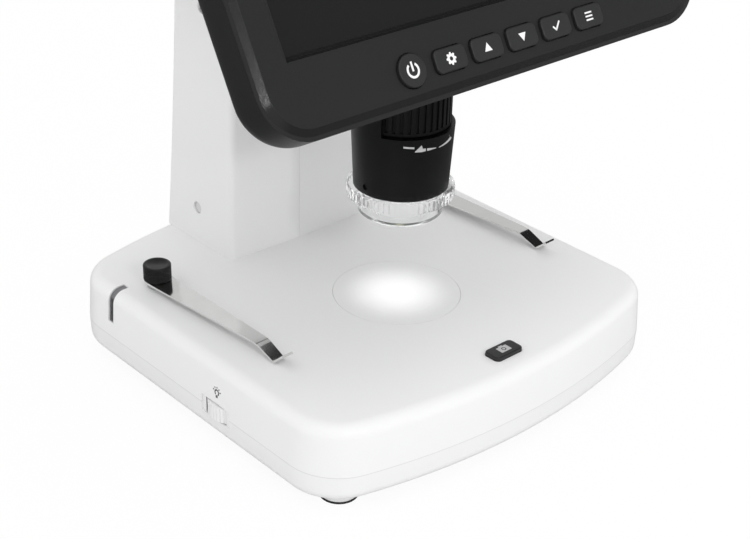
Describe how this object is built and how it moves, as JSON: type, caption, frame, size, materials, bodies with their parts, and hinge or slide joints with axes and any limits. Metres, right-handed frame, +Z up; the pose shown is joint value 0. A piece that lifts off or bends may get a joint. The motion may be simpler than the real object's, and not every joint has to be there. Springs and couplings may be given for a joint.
{
  "type": "lcd digital microscope",
  "caption": "Desk-top digital microscope: lit stage with spring clips, column with focus drive, camera tube and tilting colour display with keys.",
  "frame": {"origin": "middle of the instrument in the plane its rubber feet stand on", "axes": "+Z up; -Y is the side where the user sits; +X to the user's right"},
  "size_m": [0.1806, 0.158, 0.2301],
  "materials": {
    "white_shell": "satin moulded white ABS",
    "rubber_feet": "matte black rubber",
    "milky_window": "frosted translucent acrylic, lit from below",
    "white_inner": "white reflector",
    "circuit_board": "green solder mask",
    "lamps": "clear lamp bodies",
    "electric_parts": "black component plastic",
    "battery_wrap": "shrink wrap",
    "polished_steel": "mirror-polished steel",
    "steel": "bright zinc-plated steel",
    "brass_parts": "turned brass",
    "cast_metal": "machined aluminium",
    "rack_plastic": "acetal",
    "black_knobs": "black ABS with grip grooves",
    "black_tube": "satin black moulding",
    "clear_plastic": "clear polycarbonate",
    "lens_glass": "coated glass",
    "black_housing": "satin black ABS",
    "screen_glass": "dark screen",
    "black_keys": "satin black keys with pale signs"
  },
  "bodies": {
    "root": {"base_upper_shell": "white_shell", "base_lower_shell": "white_shell", "foot_pads": "rubber_feet", "stage_diffuser": "milky_window", "light_well": "white_inner", "stage_led_board": "circuit_board", "stage_leds": "lamps", "shutter_switch": "electric_parts", "brightness_pot": "electric_parts", "battery_pack": "battery_wrap", "control_board": "circuit_board", "power_inlet": "electric_parts", "base_screws": "steel", "edge_strip": "steel", "clip_posts": "steel", "column_shell_left": "white_shell", "column_shell_right": "white_shell", "column_joining_screws": "steel", "column_foot_screws": "steel", "guide_rods": "steel", "shaft_bushes": "brass_parts"},
    "head": {"focus_carriage": "cast_metal", "focus_rack": "rack_plastic", "head_housing": "white_shell", "head_floor": "white_shell", "head_screws": "steel", "tube_housing": "black_tube", "tube_set_screw": "black_knobs", "camera_board": "circuit_board", "ring_led_board": "circuit_board", "ring_leds": "lamps", "clear_nose": "clear_plastic", "head_hinge_bracket": "steel", "hinge_pin": "steel"},
    "focus_knobs": {"focus_shaft": "steel", "focus_pinion": "brass_parts", "focus_knob_left": "black_knobs", "focus_knob_right": "black_knobs"},
    "focus_ring": {"focus_ring": "black_tube"},
    "lens": {"lens_barrel": "black_tube", "objective_lens": "lens_glass"},
    "display": {"display_bezel": "black_housing", "display_rear_cover": "black_housing", "display_panel": "screen_glass", "display_board": "circuit_board", "keypad_board": "circuit_board", "display_hinge_bracket": "steel", "cover_screws": "steel"},
    "power_key": {"power_key": "black_keys"},
    "settings_key": {"settings_key": "black_keys"},
    "up_key": {"up_key": "black_keys"},
    "down_key": {"down_key": "black_keys"},
    "confirm_key": {"confirm_key": "black_keys"},
    "menu_key": {"menu_key": "black_keys"},
    "shutter_button": {"shutter_button": "black_keys"},
    "brightness_wheel": {"brightness_wheel": "white_shell"},
    "clip_left": {"clip_left": "polished_steel"},
    "clip_right": {"clip_right": "polished_steel"},
    "thumb_screw_left": {"thumb_screw_left": "black_knobs"},
    "thumb_screw_right": {"thumb_screw_right": "black_knobs"}
  },
  "joints": [
    {"name": "head_slide", "type": "slide", "parent": "root", "child": "head", "axis": [0, 0, 1], "range_m": [-0.008, 0.012]},
    {"name": "knob_turn", "type": "hinge", "parent": "root", "child": "focus_knobs", "pos_m": [0, 0.0545, 0.15], "axis": [1, 0, 0], "range_deg": [-115, 77]},
    {"name": "ring_turn", "type": "hinge", "parent": "head", "child": "focus_ring", "pos_m": [0, -0.0165, 0.1], "axis": [0, 0, 1], "range_deg": [-70, 70]},
    {"name": "lens_slide", "type": "slide", "parent": "head", "child": "lens", "axis": [0, 0, 1], "range_m": [-0.00125, 0.00125]},
    {"name": "display_tilt", "type": "hinge", "parent": "head", "child": "display", "pos_m": [0, -0.014, 0.158], "axis": [1, 0, 0], "range_deg": [-25, 5]},
    {"name": "power_key_press", "type": "slide", "parent": "display", "child": "power_key", "axis": [0, 0.866, -0.5], "range_m": [0, 0.0005], "stiffness_N_per_m": 1500, "springref_m": -0.0003},
    {"name": "settings_key_press", "type": "slide", "parent": "display", "child": "settings_key", "axis": [0, 0.866, -0.5], "range_m": [0, 0.0005], "stiffness_N_per_m": 1500, "springref_m": -0.0003},
    {"name": "up_key_press", "type": "slide", "parent": "display", "child": "up_key", "axis": [0, 0.866, -0.5], "range_m": [0, 0.0005], "stiffness_N_per_m": 1500, "springref_m": -0.0003},
    {"name": "down_key_press", "type": "slide", "parent": "display", "child": "down_key", "axis": [0, 0.866, -0.5], "range_m": [0, 0.0005], "stiffness_N_per_m": 1500, "springref_m": -0.0003},
    {"name": "confirm_key_press", "type": "slide", "parent": "display", "child": "confirm_key", "axis": [0, 0.866, -0.5], "range_m": [0, 0.0005], "stiffness_N_per_m": 1500, "springref_m": -0.0003},
    {"name": "menu_key_press", "type": "slide", "parent": "display", "child": "menu_key", "axis": [0, 0.866, -0.5], "range_m": [0, 0.0005], "stiffness_N_per_m": 1500, "springref_m": -0.0003},
    {"name": "shutter_button_press", "type": "slide", "parent": "root", "child": "shutter_button", "axis": [0, 0, -1], "range_m": [0, 0.0005], "stiffness_N_per_m": 1500, "springref_m": -0.0003},
    {"name": "wheel_turn", "type": "hinge", "parent": "root", "child": "brightness_wheel", "pos_m": [-0.0683, -0.0147, 0.0134], "axis": [0, 0, 1], "range_deg": [-135, 135]},
    {"name": "clip_left_swing", "type": "hinge", "parent": "root", "child": "clip_left", "pos_m": [-0.06, 0.0385, 0.0325], "axis": [0, 0, 1], "range_deg": [-14, 35]},
    {"name": "clip_right_swing", "type": "hinge", "parent": "root", "child": "clip_right", "pos_m": [0.06, 0.0385, 0.0325], "axis": [0, 0, 1], "range_deg": [-42, 8]},
    {"name": "thumb_left_turn", "type": "hinge", "parent": "root", "child": "thumb_screw_left", "pos_m": [-0.06, 0.0385, 0.035], "axis": [0, 0, 1], "range_deg": [-180, 180]},
    {"name": "thumb_right_turn", "type": "hinge", "parent": "root", "child": "thumb_screw_right", "pos_m": [0.06, 0.0385, 0.035], "axis": [0, 0, 1], "range_deg": [-180, 180]}
  ],
  "couplings": [
    {"joint": "knob_turn", "follows": "head_slide", "rad_per_m": -166.67},
    {"joint": "lens_slide", "follows": "ring_turn", "m_per_rad": 0.001}
  ]
}
